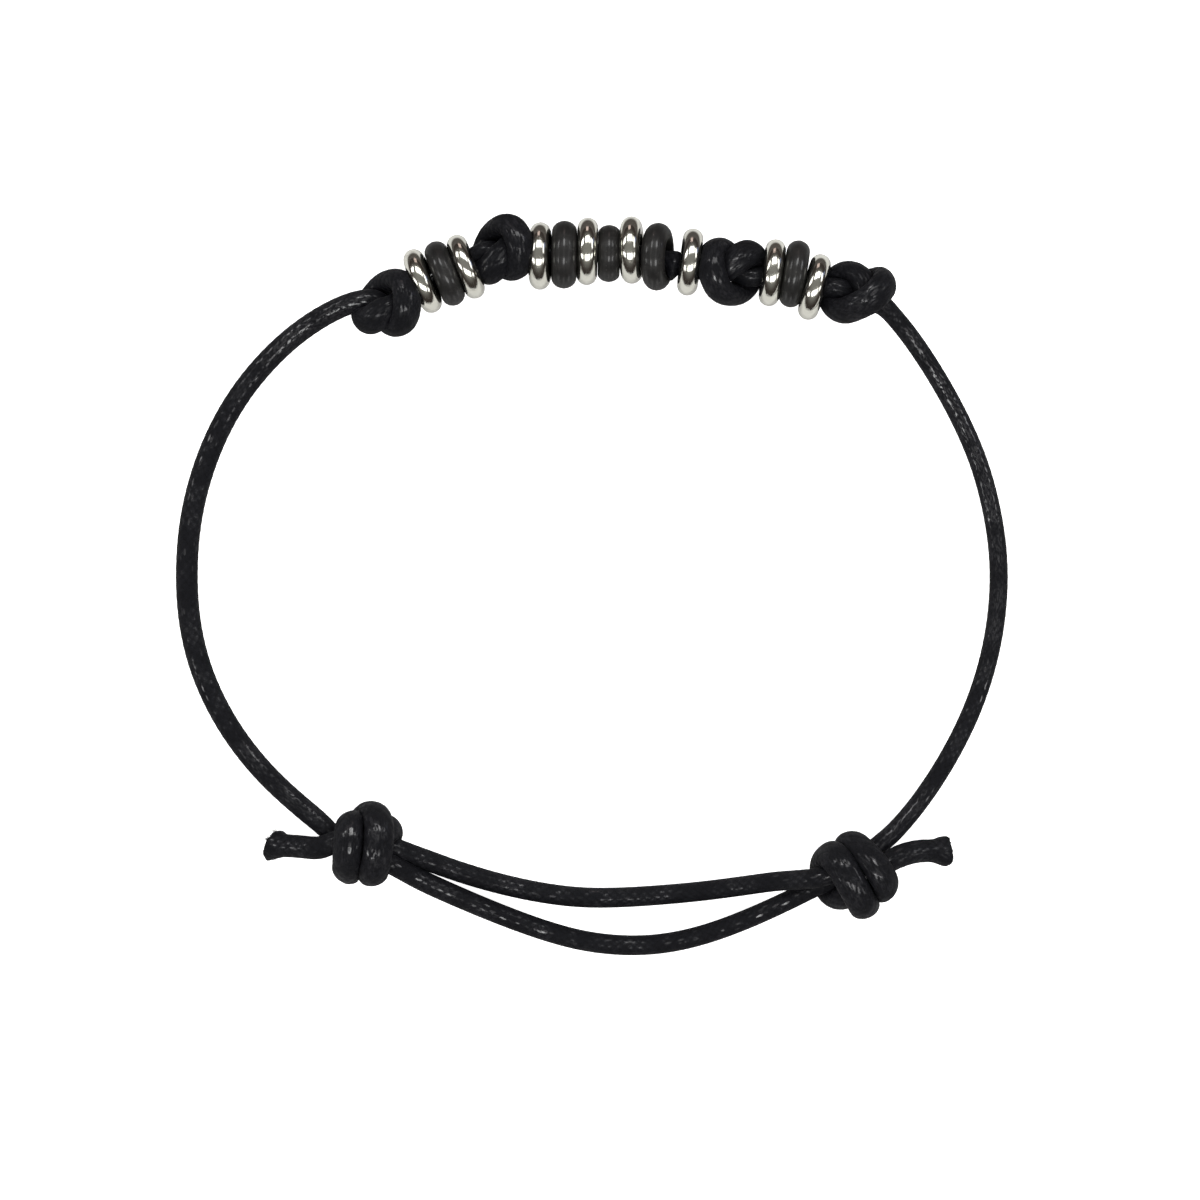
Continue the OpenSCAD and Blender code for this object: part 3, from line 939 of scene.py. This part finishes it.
@dataclass
class BraidedCord:
    """The whole cord as one tube, fuller in the knots and squeezed in the rings."""

    route: CordRoute
    line: CordLine = field(init=False)
    rings: int = 2390
    around: int = 40
    plait_columns: int = 8
    plait_length: float = 0.72 * MM
    relief: float = 0.02 * MM
    relief_middle: float = 0.6
    mid_diameter: float = 1.52 * MM
    taper: float = 0.0045
    knot_radius: float = 0.885 * MM
    knot_fade: Span = (-1.0, 0.8)
    knot_press: float = 0.97
    knot_spread: float = 1.3
    press_fade: Span = (-1.5, 0.3)
    press_reach: Span = (0.3 * MM, 1.0 * MM)
    knot_polish: float = 0.35
    core_radius: float = 0.74 * MM
    core_fade: Span = (0.0, 1.5)
    row_radius: float = 0.7 * MM
    row_fade: Span = (-0.4, 0.6)
    row_share: float = 0.3
    tail_radius: float = 0.86 * MM
    tail_fade: Span = (0.0, 1.0)
    flare: float = 0.28 * MM
    flare_length: float = 1.5 * MM
    flare_power: float = 1.5
    flare_waves: Rows = ((0.22, 3, 0.8), (0.12, 7, 2.1))
    cut_slants: Span = (0.4 * MM, 0.1 * MM)
    slant_wave: float = 1.3
    cut_steps: tuple[Span, ...] = ((0.9, 0.1), (0.576, 0.02), (0.36, 0.08), (0.16, -0.02))
    cut_jag: float = 0.08
    cut_seed: int = 7
    end_reach: float = 3 * MM
    bulge: float = 0.45 * MM
    bulge_at: float = 6.15 * MM
    bulge_reach: float = 0.42 * MM
    bulge_sag: float = 0.3 * MM
    skin: float = 0.012 * MM
    floor_gap: float = 0.01 * MM

    def __post_init__(self) -> None:
        """Sample the route."""
        self.line = self.route.line(self.rings)

    def share(self, kind: Stretch, fade: Span) -> Array:
        """Weight of one kind of stretch at each sample."""
        return self.route.weight((kind,), fade, self.line.station)

    def radii(self) -> Array:
        """Work out the radius at each sample.

        Returns:
            Radii in metres.
        """
        knot = self.share(Stretch.KNOT, self.knot_fade)
        total, radius = knot, knot * self.knot_radius
        for kind, fade, size in (
            (Stretch.CORE, self.core_fade, self.core_radius),
            (Stretch.ROW, self.row_fade, self.row_radius),
            (Stretch.TAIL, self.tail_fade, self.tail_radius),
        ):
            share = self.share(kind, fade) * (1 - knot)
            total = total + share
            radius = radius + share * size
        rest = np.clip(1 - total, 0, 1)
        free = (self.mid_diameter - self.taper * self.line.points[:, 0]) / 2
        return (radius + rest * free) / (total + rest) + self.bulge * self.swell()

    def swell(self) -> Array:
        """Weigh the short bare stretch between two rings, where the cord bulges.

        Returns:
            1 in the middle of that stretch, falling to 0.
        """
        in_row = self.share(Stretch.ROW, self.row_fade) > self.row_share
        off = (self.line.points[:, 0] - self.bulge_at) / self.bulge_reach
        return np.exp(-(off**2)) * in_row

    def axes(self) -> list[Array]:
        """Work out each section's two half axes, pressed flat against the knot that it is part of.

        Returns:
            Half axes for the two sides of the section, each as a matrix row by sample.
        """
        line = self.line
        knot = self.share(Stretch.KNOT, self.press_fade)
        middles = np.array([place.centre for place in self.route.places.values()]) * MM
        away = line.points[:, None, :] - middles[None, :, :]
        nearest = np.argmin(np.linalg.norm(away, axis=2), axis=1)
        out = away[np.arange(len(away)), nearest]
        out = out - line.tangents * np.sum(out * line.tangents, axis=1)[:, None]
        reach = np.linalg.norm(out, axis=1)
        out = out / np.maximum(reach, 1e-9)[:, None]
        near, far = self.press_reach
        pressed = knot * smoothstep((reach - near) / (far - near))
        across = np.cross(line.tangents, out)
        axes = []
        for axis in (line.sides, line.ups):
            thinner = np.sum(axis * out, axis=1) * pressed * (self.knot_press - 1)
            wider = np.sum(axis * across, axis=1) * pressed * (self.knot_spread - 1)
            axes.append(axis + thinner[:, None] * out + wider[:, None] * across)
        return axes

    def shape(self, rings: list[RingShape]) -> tuple[Array, Array]:
        """Place every vertex of the tube.

        Args:
            rings: Rings that the cord gives way to.

        Returns:
            Positions and braid coordinates, both by sample and by angle.
        """
        line = self.line
        angle = np.linspace(0, 2 * math.pi, self.around + 1)
        columns = self.plait_columns * angle / (2 * math.pi)
        along = line.run / self.plait_length
        left = columns[None, :] + along[:, None]
        right = columns[None, :] - along[:, None]
        height = np.full(left.shape, -1.0)
        for own, other, phase in ((left, right, 0.0), (right, left, 1.0)):
            lane = np.round(own)
            crown = 1 - 4 * (own - lane) ** 2
            lift = np.cos(math.pi * (lane + other + phase))
            height = np.maximum(height, CROWN_SHARE * crown + LIFT_SHARE * lift)
        radius = self.radii()[:, None] + self.relief * (height - self.relief_middle)
        from_end = np.minimum(line.run, line.length - line.run)
        flare = smoothstep(1 - from_end / self.flare_length) ** self.flare_power
        ragged = np.ones_like(angle)
        for share, waves, phase in self.flare_waves:
            ragged += share * np.sin(waves * angle + phase)
        radius = radius + self.flare * flare[:, None] * ragged[None, :]
        side, up = (axis[:, None, :] for axis in self.axes())
        spread = np.cos(angle)[None, :, None] * side + np.sin(angle)[None, :, None] * up
        points = line.points[:, None, :] + radius[:, :, None] * spread
        points[:, :, 1] -= self.bulge_sag * self.swell()[:, None]
        for run, slant, outward in (
            (line.run, self.cut_slants[0], -line.tangents[0]),
            (line.length - line.run, self.cut_slants[1], line.tangents[-1]),
        ):
            near_end = smoothstep(1 - run / self.flare_length)[:, None]
            reach = slant * near_end * np.sin(-self.slant_wave * spread[:, :, 1])
            points = points + reach[:, :, None] * outward
        flat = points.reshape(-1, 3)
        for ring in rings:
            flat = ring.pushed_off(flat, self.skin)
        flat[:, 2] = np.maximum(flat[:, 2], self.floor_gap)
        braid = np.stack(np.broadcast_arrays(columns[None, :], along[:, None]), axis=2)
        return flat.reshape(points.shape), braid

    def build(self, rings: list[RingShape], finish: Material) -> None:
        """Make the cord.

        Args:
            rings: Rings that it gives way to.
            finish: Its material.
        """
        points, braid = self.shape(rings)
        bm = bmesh.new()
        bm.loops.layers.uv.new("braid")
        bmesh.ops.create_grid(
            bm, x_segments=self.rings - 1, y_segments=self.around, size=1.0, calc_uvs=True
        )
        layer = bm.loops.layers.uv["braid"]
        handled = bm.verts.layers.float.new("handled")
        polish = self.handled()
        bm.verts.index_update()
        where: dict[int, tuple[int, int]] = {}
        for vert in bm.verts:
            k = round((vert.co.x + 1) / 2 * (self.rings - 1))
            j = round((vert.co.y + 1) / 2 * self.around)
            where[vert.index] = (k, j)
            vert.co = points[k, j]
            vert[handled] = float(polish[k])
        for face in bm.faces:
            face.smooth = True
            for loop in face.loops:
                loop[layer].uv = braid[where[loop.vert.index]]
        seam = [v for v in bm.verts if where[v.index][1] in (0, self.around)]
        bmesh.ops.remove_doubles(bm, verts=seam, dist=1e-7)
        self.close_ends(bm)
        bmesh.ops.recalc_face_normals(bm, faces=bm.faces)
        cord = finished("braided_cord", bm, finish)
        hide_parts(*CORD_NODES)

    def handled(self) -> Array:
        """Work out how polished the wax is: a little in the knots, more at the marked places.

        Returns:
            0 to 1 for each sample.
        """
        polish = self.knot_polish * self.share(Stretch.KNOT, self.knot_fade)
        for x, y, reach, strength in POLISHED:
            off = np.hypot(self.line.points[:, 0] / MM - x, self.line.points[:, 1] / MM - y)
            polish = np.maximum(polish, strength * smoothstep(1.5 - off / reach))
        return polish

    def close_ends(self, bm: BMesh) -> None:
        """Close both cut ends of the open tube with a sunken, ragged face.

        Args:
            bm: The open tube.
        """
        dice = random.Random(self.cut_seed)
        rim = [e for e in bm.edges if e.is_boundary]
        for end in self.line.ends:
            edges = [e for e in rim if (e.verts[0].co - end.middle).length < self.end_reach]
            for scale, push in self.cut_steps:
                made = bmesh.ops.extrude_edge_only(bm, edges=edges)["geom"]
                edges = [g for g in made if isinstance(g, bmesh.types.BMEdge)]
                for vert in dict.fromkeys(v for e in edges for v in e.verts):
                    off = (push + dice.uniform(-self.cut_jag, self.cut_jag)) * MM
                    vert.co = end.middle + (vert.co - end.middle) * scale + end.outward * off
            bmesh.ops.contextual_create(bm, geom=edges)


@dataclass
class FrayedTips:
    """Short loose fibres at the two cut ends."""

    count: int = 90
    thickness: float = 0.022 * MM
    sides: int = 4
    steps: int = 4
    seed: int = 21
    from_middle: Span = (0.15, 1.0)
    sunk: float = 0.15 * MM
    spread: Span = (0.0, 0.55)
    rise: Span = (-0.25, 0.1)
    lengths: Span = (0.16 * MM, 0.42 * MM)
    bend: float = 0.18
    bend_rise: Span = (-0.6, 0.3)
    taper: float = 0.82

    def build(self, line: CordLine, radius: float, finish: Material) -> None:
        """Make all fibres as one piece.

        Args:
            line: The cord's line.
            radius: Radius of the cut end.
            finish: Their material.
        """
        dice = random.Random(self.seed)
        bm = bmesh.new()
        for end in line.ends:
            for _ in range(self.count):
                self.fibre(bm, dice, end, radius)
        bmesh.ops.recalc_face_normals(bm, faces=bm.faces)
        finished("frayed_tips", bm, finish)

    def fibre(self, bm: BMesh, dice: random.Random, end: CutEnd, radius: float) -> None:
        """Add one tapering fibre.

        Args:
            bm: Mesh that gets it.
            dice: Source of the seeded choices.
            end: The cut end that it grows from.
            radius: Radius of that end.
        """
        angle = dice.uniform(0, 2 * math.pi)
        away = end.side * math.cos(angle) + end.up * math.sin(angle)
        start = end.middle + away * radius * math.sqrt(dice.uniform(*self.from_middle))
        start -= end.outward * self.sunk
        lean = end.outward + away * dice.uniform(*self.spread)
        lean = (lean + Vector((0, 0, dice.uniform(*self.rise)))).normalized()
        length = dice.uniform(*self.lengths)
        turn = lean.to_track_quat("Z", "Y").to_matrix().to_4x4()
        made = bmesh.ops.create_circle(
            bm, cap_ends=True, radius=self.thickness, segments=self.sides
        )
        verts = made["verts"]
        bmesh.ops.transform(bm, matrix=Matrix.Translation(start) @ turn, verts=verts)
        face = verts[0].link_faces[0]
        for _ in range(self.steps):
            made = bmesh.ops.extrude_discrete_faces(bm, faces=[face])
            face = made["faces"][0]
            moved = list(face.verts)
            bend = Vector((dice.uniform(-1, 1), dice.uniform(-1, 1), dice.uniform(*self.bend_rise)))
            lean = (lean + bend * self.bend).normalized()
            bmesh.ops.translate(bm, verts=moved, vec=lean * length / self.steps)
            centre = sum((v.co for v in moved), Vector()) / len(moved)
            space = Matrix.Translation(-centre)
            bmesh.ops.scale(bm, verts=moved, vec=(self.taper,) * 3, space=space)


@dataclass
class SilverRing:
    """A polished ring turned from round wire."""

    shape: RingShape
    number: int
    section_sides: int = 40
    steps: int = 112

    def build(self, finish: Material) -> None:
        """Make the ring in its place.

        Args:
            finish: Its material.
        """
        bm = bmesh.new()
        self.shape.spin(bm, self.shape.section(bm, self.section_sides), self.steps)
        bmesh.ops.transform(bm, matrix=self.shape.placing, verts=bm.verts)
        ring = finished(f"polished_ring_{self.number}", bm, finish)
        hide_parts(f"silver_ring_{self.number}")


@dataclass
class RubberRing:
    """A moulded rubber ring with a parting line and fine moulding grooves."""

    shape: RingShape
    number: int
    section_sides: int = 64
    steps: int = 96
    groove: float = 0.014 * MM
    grooves: int = 14
    groove_at: float = 0.9
    groove_reach: float = 0.35
    parting: float = 0.016 * MM
    parting_reach: float = 0.07

    def relief(self, angle: float) -> float:
        """Work out the grooves and the parting line on the section.

        Args:
            angle: Angle from the section's outermost point.

        Returns:
            Height over the round section, 0 or less.
        """
        near = math.exp(-(((abs(angle) - self.groove_at) / self.groove_reach) ** 2))
        lines = -self.groove * max(0.0, math.cos(angle * self.grooves)) * near
        ridge = self.parting * math.exp(-((angle / self.parting_reach) ** 2))
        return lines + ridge - self.parting

    def build(self, finish: Material) -> None:
        """Make the ring in its place.

        Args:
            finish: Its material.
        """
        shape = self.shape
        bm = bmesh.new()
        verts = shape.section(bm, self.section_sides)
        for vert in verts:
            vert.co += vert.co.normalized() * self.relief(math.atan2(vert.co.x, vert.co.y))
            vert.co.x *= shape.width / shape.wall
        shape.spin(bm, verts, self.steps)
        layer = bm.loops.layers.uv.new("turned")
        for face in bm.faces:
            for loop in face.loops:
                x, y, z = loop.vert.co
                across = math.atan2(x, math.hypot(y, z) - shape.mid_radius)
                loop[layer].uv = (math.atan2(z, y), across)
        bmesh.ops.transform(bm, matrix=shape.placing, verts=bm.verts)
        ring = finished(f"moulded_ring_{self.number}", bm, finish)
        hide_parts(f"rubber_ring_{self.number}")


@dataclass
class RingRow:
    """The silver and rubber rings that the cord is threaded through."""

    silver_outer: float = 5.06 * MM
    silver_wire: float = 1.56 * MM

    def silver(self) -> list[RingShape]:
        """Shapes of the silver rings."""
        return [
            RingShape(
                (x * MM, y * MM, self.silver_outer / 2), math.radians(turn), math.radians(tip),
                self.silver_outer, self.silver_wire, self.silver_wire,
            )
            for x, y, turn, tip in SILVER_ROWS
        ]

    def rubber(self) -> list[RingShape]:
        """Shapes of the rubber rings."""
        return [
            RingShape(
                (x * MM, y * MM, z * MM), math.radians(turn), math.radians(tip),
                outer * MM, wall * MM, width * MM,
            )
            for x, y, z, turn, tip, outer, wall, width in RUBBER_ROWS
        ]

    def build(self, silver: Material, rubber: Material) -> None:
        """Make all rings.

        Args:
            silver: Finish of the polished rings.
            rubber: Finish of the rubber rings.
        """
        for number, shape in enumerate(self.silver(), 1):
            SilverRing(shape, number).build(silver)
        for number, shape in enumerate(self.rubber(), 1):
            RubberRing(shape, number).build(rubber)


@dataclass(frozen=True)
class LightPanel:
    """One soft panel that hangs level, or leans towards the bracelet if it is low."""

    name: str
    place: Point
    size: Span
    radiance: float
    tint: Point = (1.0, 1.0, 1.0)
    level: bool = True

    def build(self) -> None:
        """Add the panel."""
        data = bpy.data.lights.new(self.name, "AREA")
        data.shape = "RECTANGLE"
        data.size, data.size_y = self.size
        data.energy = self.radiance * math.pi * self.size[0] * self.size[1]
        data.color = self.tint
        lamp = shown(self.name, data)
        lamp.location = self.place
        if not self.level:
            lamp.rotation_euler = Vector(self.place).to_track_quat("Z", "Y").to_euler()


@dataclass
class Studio:
    """Pale floor, soft panels, a dim room and the camera straight above."""

    camera_height: float = 0.352
    aim_height: float = 0.002
    sensor: float = 36.0
    field: float = 0.09
    middle: Span = (0.0006, -0.00101)
    floor_side: float = 3.0
    paper: tuple[Row, Row] = ((0.9, 0.9, 0.895), (0.915, 0.915, 0.91))
    # Painted shade on the floor beyond the row, and the span where it comes in; only reflections
    # see it
    painted_shade: Row = (0.1, 0.09, 0.085)
    painted_shade_span: Span = (29.5 * MM, 33.0 * MM)
    seen: Row = (1.0, 1.0, 0.995)
    panel_height: float = 1.0
    room_low: Row = (0.055, 0.045, 0.041)
    room_high: Row = (0.29, 0.285, 0.27)

    def build(self) -> None:
        """Make the whole studio."""
        self.camera()
        self.floor()
        self.panels()
        self.room()

    def camera(self) -> None:
        """Place the camera as in the photograph."""
        data = bpy.data.cameras.new("camera")
        data.sensor_width = self.sensor
        data.sensor_fit = "HORIZONTAL"
        data.lens = self.sensor * (self.camera_height - self.aim_height) / self.field
        data.clip_start = 0.01
        data.clip_end = 10.0
        camera = shown("camera", data)
        camera.location = (*self.middle, self.camera_height)
        bpy.context.scene.camera = camera

    def floor(self) -> None:
        """Lay the pale floor, with painted shade beyond the row where only reflections see it."""
        bm = bmesh.new()
        bmesh.ops.create_grid(bm, x_segments=2, y_segments=2, size=self.floor_side / 2)
        mesh = bpy.data.meshes.new("pale_floor")
        bm.to_mesh(mesh)
        bm.free()
        material, kit, shader = start_material("pale_paper")
        place = kit.place()
        grain = kit.ramp(kit.noise(place, Scale=60.0, Detail=2.0), 0.3, 0.7, 0.0, 1.0)
        across = kit.add("SeparateXYZ", Vector=place).outputs["Y"]
        # Painted shade: the floor colour turns darker beyond the row
        beyond = kit.ramp(across, *self.painted_shade_span, 0.0, 1.0)
        seen = kit.add("LightPath").outputs["Is Camera Ray"]
        kit.fit(
            shader,
            Base_Color=kit.mix(beyond, kit.mix(grain, *self.paper), self.painted_shade),
            Roughness=0.9,
            Specular_IOR_Level=0.1,
            Emission_Color=kit.mix(seen, (0.0, 0.0, 0.0), self.seen),
            Emission_Strength=1.0,
        )
        mesh.materials.append(material)
        shown("pale_floor", mesh)

    def panels(self) -> None:
        """Hang the panels whose images the polished rings show."""
        high = self.panel_height
        warm, cool = (1.0, 0.8, 0.76), (0.5, 0.62, 1.0)
        panels = [
            LightPanel("far_warm", (-0.1, 1.9, 0.32), (0.6, 0.6), 1.0, warm, level=False),
            LightPanel("right_cool", (1.3, 0.6, 0.5), (0.3, 0.7), 0.5, cool, level=False),
            LightPanel("right_between", (1.6, 0.375, high), (0.9, 0.35), 2.6),
        ]
        for row, y, depth in (("far", 0.9, 0.7), ("near", -0.47, 0.42)):
            for column, x, width, radiance in (
                ("left", -1.88, 1.66, 4.4), ("middle", 0.12, 1.2, 4.4), ("right", 1.6, 0.9, 3.0),
            ):
                name, size = f"{row}_{column}", (width, depth)
                panels.append(LightPanel(name, (x, y, high), size, radiance))
        for panel in panels:
            panel.build()

    def room(self) -> None:
        """Set the dim room light, brown below and grey-green above, and plain colours."""
        world = bpy.data.worlds.new("room")
        world.use_nodes = True
        bpy.context.scene.world = world
        kit = NodeKit(world.node_tree)
        way = kit.add("TexCoord").outputs["Generated"]
        up = kit.add("SeparateXYZ", Vector=way).outputs["Z"]
        colour = kit.mix(kit.ramp(up, 0.2, 0.96, 0.0, 1.0), self.room_low, self.room_high)
        kit.fit(world.node_tree.nodes["Background"], Color=colour)
        bpy.context.scene.view_settings.view_transform = "Standard"


def main() -> None:
    """Build the bracelet and its studio in order."""
    logging.basicConfig(level=logging.INFO, format="%(name)s %(message)s")
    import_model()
    Studio().build()
    effects = SurfaceEffects()
    row = RingRow()
    cord = BraidedCord(CordRoute())
    cord.build(row.silver() + row.rubber(), BraidFinish().build(effects))
    FrayedTips().build(cord.line, cord.tail_radius + cord.flare, FrayFinish().build())
    row.build(SilverFinish().build(effects), RubberFinish().build(effects))


if __name__ == "__main__":
    main()
